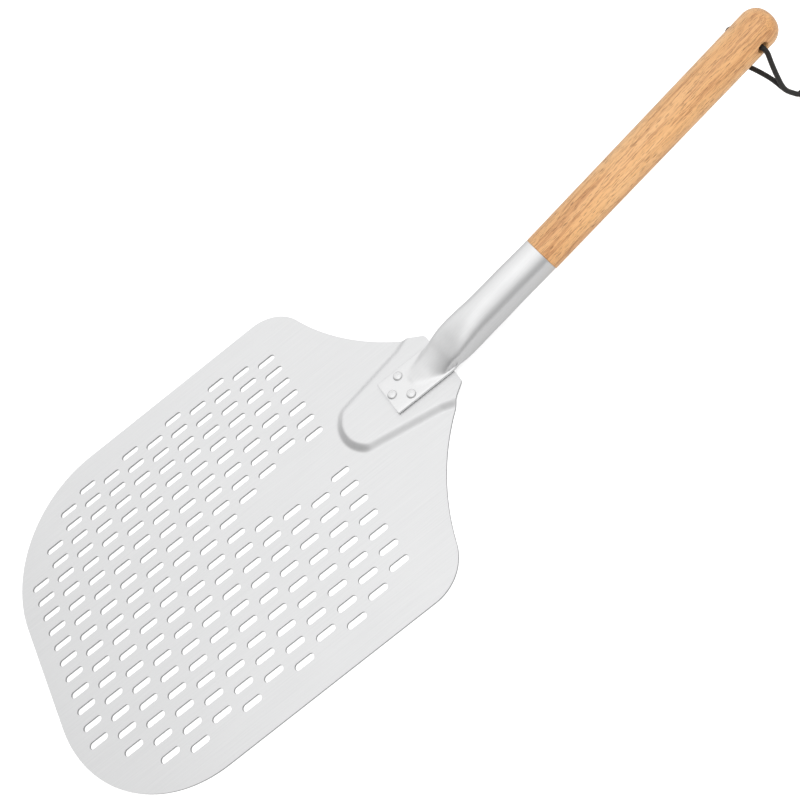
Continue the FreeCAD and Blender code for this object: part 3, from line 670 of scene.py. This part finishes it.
def make_tube():
    stations = np.arange(FLANGE_FRONT + 0.6, JOINT[0] - 0.6, TUBE_STEP)
    rings = [tube_ring(x) for x in stations]
    first = rings[0].mean(axis=0)
    for inset, place in ((0.25, 0.15), (0.9, 0.0)):
        narrowed = [1, 1 - inset / FLANGE_HALF, 1 - inset / TUBE_WALL * 0.7]
        nose = first + (tube_ring(FLANGE_FRONT + 0.6) - first) * narrowed
        nose[:, 0] = FLANGE_FRONT + place
        rings.insert(0, nose)
    last = tube_ring(JOINT[0])
    centre = last.mean(axis=0)
    for inset in (0.0, 0.15, 0.5):
        rim = centre + (last - centre) * (1 - inset / 14.7)
        slide = -0.45 + 0.45 * min(1, inset / 0.5) ** 0.5
        rings.append(rim + [slide * math.cos(TILT), 0, slide * math.sin(TILT)])
    formed = mesh_from("formed_tube", *skin(rings), sharp=50)
    tube = add_piece("formed_tube", formed, ["tube_socket"])
    tube.data.materials.append(tube_material())


def tube_material():
    shader = Shader("polished_tube")
    turn = (0, TILT, 0)
    drawn = shader.noise(shader.place((0.03, 1.6, 1.6), turn=turn), detail=5, roughness=0.6)
    dents = shader.noise(shader.place((0.05,) * 3, shift=(2, 7, 1)), detail=2)
    fine = shader.noise(shader.place((1.5,) * 3), detail=3)
    colour = shader.ramp(drawn, (0.3, (0.84, 0.842, 0.846)), (0.7, (0.895, 0.896, 0.898)))
    roughness = shader.math("ADD", shader.math("MULTIPLY", fine, 0.08), 0.26)
    normal = shader.bump(dents, 0.12, 0.0010)
    normal = shader.bump(drawn, 0.10, 0.00004, normal)
    return shader.finish(Base_Color=colour, Metallic=1.0, Roughness=roughness, Normal=normal)


make_tube()


# ---------------------------------------------------------------- rivets and nail

RIVETS = {"rivet_front": (159.1, 0.0), "rivet_left": (170.9, 10.3), "rivet_right": (170.9, -10.3)}
RIVET_SEAT = FLANGE_SEAT + 2 * TUBE_WALL
RIVET_HEAD = 3.9
RIVET_DOME = 1.7


def lathe(profile, sides, place):
    """Turn (radius, height) points round a line; place() puts a local point in the scene."""
    around = np.linspace(0, 2 * math.pi, sides, endpoint=False)
    rings = [[place(r * math.cos(a), r * math.sin(a), h) for a in around] for r, h in profile]
    return skin(rings)


def make_rivets():
    material = rivet_material()
    rim = [
        (RIVET_HEAD - 0.35, 0.0),
        (RIVET_HEAD - 0.08, 0.08),
        (RIVET_HEAD, 0.25),
        (RIVET_HEAD - 0.06, 0.42),
    ]
    dome = [
        (RIVET_HEAD * math.cos(a) * 0.97, 0.42 + (RIVET_DOME - 0.42) * math.sin(a) ** 0.85)
        for a in np.radians(np.linspace(12, 88, 12))
    ]
    shank = [(2.0, -4.6), (2.0, 0.0)]
    tail = [(0.3, -5.7), (1.8, -5.6), (2.7, -5.2), (3.1, -4.7), (3.0, -4.6)]
    for name, (x, y) in RIVETS.items():

        def place(across, aside, height):
            return (x + across, y + aside, RIVET_SEAT + height)

        points, faces = lathe(tail + shank + rim + dome, 64, place)
        piece = add_piece(name + "_turned", mesh_from(name, points, faces, sharp=45), [name])
        piece.data.materials.append(material)


def rivet_material():
    shader = Shader("rivet_aluminium")
    fine = shader.noise(shader.place((1.1,) * 3), detail=4)
    colour = shader.ramp(fine, (0.3, (0.78, 0.782, 0.786)), (0.7, (0.88, 0.881, 0.883)))
    roughness = shader.math("ADD", shader.math("MULTIPLY", fine, 0.12), 0.15)
    return shader.finish(
        Base_Color=colour, Metallic=1.0, Roughness=roughness, Normal=shader.bump(fine, 0.2, 0.0001)
    )


def nail_material():
    shader = Shader("plain_steel")
    fine = shader.noise(shader.place((2.0,) * 3), detail=4)
    colour = shader.ramp(fine, (0.3, (0.42, 0.42, 0.43)), (0.7, (0.60, 0.60, 0.61)))
    normal = shader.bump(fine, 0.2, 0.0001)
    return shader.finish(Base_Color=colour, Metallic=1.0, Roughness=0.35, Normal=normal)


make_rivets()
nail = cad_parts["handle_nail"]
nail.data.materials.clear()
nail.data.materials.append(nail_material())


# ---------------------------------------------------------------- wooden grip

GRIP_RADIUS = 14.8
GRIP_LONG = 219.8
GRIP_END = 11.2
GRIP_STEP = 1.5
GRIP_SIDES = 160
TENON_RADIUS = 12.2
TENON_LONG = 22.0
CORD_HOLE = 200.5
CORD_HOLE_RADIUS = 3.6
HOLE_FLARE = 0.7


def on_grip(across, aside, along):
    """From the grip's own lines (down, aside, along) into the scene."""
    return (
        JOINT[0] + along * math.cos(TILT) + across * math.sin(TILT),
        aside,
        JOINT[1] + along * math.sin(TILT) - across * math.cos(TILT),
    )


def make_grip():
    round_end = [
        (GRIP_RADIUS - GRIP_END + GRIP_END * math.cos(a), GRIP_LONG - GRIP_END + GRIP_END * math.sin(a))
        for a in np.radians(np.linspace(0, 90, 22))
    ]
    body = [(GRIP_RADIUS, along) for along in np.arange(1.5, GRIP_LONG - GRIP_END, GRIP_STEP)]
    tenon = [(TENON_RADIUS - 1, -TENON_LONG), (TENON_RADIUS, -TENON_LONG + 1), (TENON_RADIUS, 0)]
    shoulder = [(GRIP_RADIUS - 0.35, 0), (GRIP_RADIUS - 0.1, 0.1), (GRIP_RADIUS, 0.4)]
    profile = tenon + shoulder + body + round_end + [(1.2, GRIP_LONG)]
    points, faces = lathe(profile, GRIP_SIDES, on_grip)
    grip = add_piece("turned_grip", mesh_from("turned_grip", points, faces), ["handle"])

    outer = GRIP_RADIUS + 2.0
    flare = [
        (CORD_HOLE_RADIUS + 4.0, -outer),
        (CORD_HOLE_RADIUS + HOLE_FLARE, -GRIP_RADIUS + 0.1),
        (CORD_HOLE_RADIUS + 0.2, -GRIP_RADIUS + 0.9),
        (CORD_HOLE_RADIUS, -GRIP_RADIUS + 1.8),
    ]
    flare += [(radius, -height) for radius, height in flare[::-1]]

    def across_grip(one, other, height):
        return on_grip(one, height, CORD_HOLE + other)

    points, faces = lathe(flare, 48, across_grip)
    drill = bpy.data.objects.new("drill", mesh_from("drill", points, faces))
    bpy.context.scene.collection.objects.link(drill)
    cut = grip.modifiers.new("hole", "BOOLEAN")
    cut.operation = "DIFFERENCE"
    cut.solver = "EXACT"
    cut.object = drill
    drilled = bpy.data.meshes.new_from_object(grip.evaluated_get(bpy.context.evaluated_depsgraph_get()))
    grip.modifiers.clear()
    grip.data = drilled
    bpy.data.objects.remove(drill)
    drilled.shade_smooth()
    drilled.set_sharp_from_angle(angle=math.radians(35))
    drilled.materials.clear()
    drilled.materials.append(wood_material())


def wood_material():
    shader = Shader("lacquered_wood")
    turn = (0, TILT, 0)
    where = shader.place((0.006, 0.07, 0.07), turn=turn, shift=(1, 2, 3))
    broad = shader.noise(where, detail=3, distortion=0.4)
    where = shader.place((0.012, 0.5, 0.5), turn=turn, shift=(0, 3, 1))
    grain = shader.noise(where, detail=5, roughness=0.6)
    where = shader.place((0.010, 0.26, 0.26), turn=turn, shift=(7, 1, 4))
    streak = shader.noise(where, detail=4, distortion=1.2)
    pores = shader.noise(shader.place((0.16, 3.2, 3.2), turn=turn), detail=2, roughness=0.4)
    tones = ((0.30, (0.68, 0.36, 0.145)), (0.52, (0.78, 0.44, 0.19)), (0.72, (0.86, 0.53, 0.26)))
    colour = shader.ramp(broad, *tones)
    colour = shader.mix(shader.ramp(grain, (0.38, 0.0), (0.75, 0.40)), colour, (0.64, 0.30, 0.11, 1))
    dark = shader.ramp(streak, (0.54, 0.0), (0.63, 0.65), (0.71, 0.0))
    colour = shader.mix(dark, colour, (0.42, 0.17, 0.06, 1))
    holes = shader.ramp(pores, (0.58, 0.0), (0.65, 1.0))
    colour = shader.mix(shader.math("MULTIPLY", holes, 0.80), colour, (0.20, 0.08, 0.03, 1))
    roughness = shader.math("ADD", shader.math("MULTIPLY", grain, 0.12), 0.34)
    normal = shader.bump(holes, 0.25, -0.0002)
    normal = shader.bump(grain, 0.06, 0.0002, normal)
    return shader.finish(
        Base_Color=colour, Roughness=roughness, Normal=normal, Coat_Weight=0.25, Coat_Roughness=0.25
    )


make_grip()


# ---------------------------------------------------------------- floor and light

FLOOR_GLOW = 0.55
FLOOR_SHINE = 0.25
# Brightness of the studio round the peel, by height: 0 is the horizon and 1 overhead.
STUDIO_GREYS = [(0.0, 0.39), (0.15, 0.48), (0.49, 0.66), (0.62, 0.78), (0.86, 0.86), (1.0, 1.0)]
# Where the studio dims towards the blade's front, as directions along X.
STUDIO_DIM = (-0.66, -0.36)
STUDIO_LEVELS = (0.70, 1.15)
STUDIO_TILT = 0.5


def make_floor():
    """A plain floor that the camera sees as white paper and the metal sees as pale grey; that darker grey
    in reflections is painted shade for the floor's shadow round the peel.
    """
    half = 0.8
    work = bmesh.new()
    bmesh.ops.create_grid(work, x_segments=8, y_segments=8, size=half)
    mesh = bpy.data.meshes.new("floor")
    work.to_mesh(mesh)
    work.free()
    floor = bpy.data.objects.new("floor", mesh)
    floor.location = (0.15, 0.25, -0.0002)
    bpy.context.scene.collection.objects.link(floor)
    shader = Shader("pale_floor")
    grain = shader.noise(shader.place((0.4,) * 3), detail=2)
    colour = shader.ramp(grain, (0.3, 0.76), (0.7, 0.78))
    rays = shader.add("LightPath").outputs
    # Reflections see a darker grey floor with a faint glow of its own: painted shade standing in for the
    # floor's shadow round the peel.
    colour = shader.mix(rays["Is Glossy Ray"], colour, (0.36, 0.36, 0.36, 1))
    glow = shader.math("MULTIPLY", rays["Is Camera Ray"], FLOOR_GLOW)
    glow = shader.math("ADD", glow, shader.math("MULTIPLY", rays["Is Glossy Ray"], FLOOR_SHINE))
    from_above = shader.math("SUBTRACT", 1.0, shader.add("NewGeometry").outputs["Backfacing"])
    mesh.materials.append(
        shader.finish(
            Base_Color=colour,
            Roughness=0.9,
            Emission_Color=(1, 1, 1, 1),
            Emission_Strength=glow,
            Alpha=from_above,
        )
    )


def area_light(name, place, aim, width, height, power):
    light = bpy.data.lights.new(name, "AREA")
    light.shape = "RECTANGLE"
    light.size = width
    light.size_y = height
    light.energy = power
    lamp = bpy.data.objects.new(name, light)
    lamp.location = place
    lamp.rotation_mode = "QUATERNION"
    lamp.rotation_quaternion = (Vector(aim) - Vector(place)).to_track_quat("-Z", "Y")
    bpy.context.scene.collection.objects.link(lamp)
    return lamp


def sky_math(tree, operation, one, other):
    node = tree.nodes.new("ShaderNodeMath")
    node.operation = operation
    for socket, value in zip(node.inputs, (one, other)):
        if isinstance(value, bpy.types.NodeSocket):
            tree.links.new(value, socket)
        else:
            socket.default_value = value
    return node.outputs[0]


def make_light():
    world = bpy.data.worlds.new("studio")
    bpy.context.scene.world = world
    world.use_nodes = True
    tree = world.node_tree
    tree.nodes.clear()
    direction = tree.nodes.new("ShaderNodeTexCoord").outputs["Generated"]
    parts = tree.nodes.new("ShaderNodeSeparateXYZ")
    tree.links.new(direction, parts.inputs[0])
    ramp = tree.nodes.new("ShaderNodeValToRGB")
    # Low down, the studio is brighter towards +Y than towards -Y.
    low_down = sky_math(tree, "SUBTRACT", 1.0, parts.outputs["Z"])
    sideways = sky_math(tree, "MULTIPLY", STUDIO_TILT, parts.outputs["Y"])
    tilt = sky_math(tree, "MULTIPLY", low_down, sideways)
    height = sky_math(tree, "ADD", tilt, parts.outputs["Z"])
    tree.links.new(height, ramp.inputs["Fac"])
    entries = ramp.color_ramp.elements
    while len(entries) < len(STUDIO_GREYS):
        entries.new(0.5)
    for entry, (place, grey) in zip(entries, STUDIO_GREYS):
        entry.position = place
        entry.color = (grey, grey, grey, 1)
    dim = tree.nodes.new("ShaderNodeMapRange")
    for name, value in zip(("From Min", "From Max", "To Min", "To Max"), (*STUDIO_DIM, *STUDIO_LEVELS)):
        dim.inputs[name].default_value = value
    tree.links.new(parts.outputs["X"], dim.inputs["Value"])
    # The camera sees plain white past the edge of the floor.
    rays = tree.nodes.new("ShaderNodeLightPath")
    strength = sky_math(tree, "MAXIMUM", dim.outputs["Result"], rays.outputs["Is Camera Ray"])
    backdrop = tree.nodes.new("ShaderNodeMixRGB")
    backdrop.inputs["Color2"].default_value = (1, 1, 1, 1)
    tree.links.new(rays.outputs["Is Camera Ray"], backdrop.inputs["Fac"])
    tree.links.new(ramp.outputs["Color"], backdrop.inputs["Color1"])
    background = tree.nodes.new("ShaderNodeBackground")
    tree.links.new(backdrop.outputs["Color"], background.inputs["Color"])
    tree.links.new(strength, background.inputs["Strength"])
    output = tree.nodes.new("ShaderNodeOutputWorld")
    tree.links.new(background.outputs["Background"], output.inputs["Surface"])
    area_light("softbox", (0.15, -0.3, 1.5), (0.15, -0.1, 0), 1.6, 1.2, 7.0).visible_glossy = False
    area_light("fill", (0.45, -0.9, 0.35), (0.4, 0, 0.06), 0.8, 0.5, 3.2).visible_glossy = False
    view = bpy.context.scene.view_settings
    view.view_transform = "Standard"
    view.look = "None"


make_floor()
make_light()
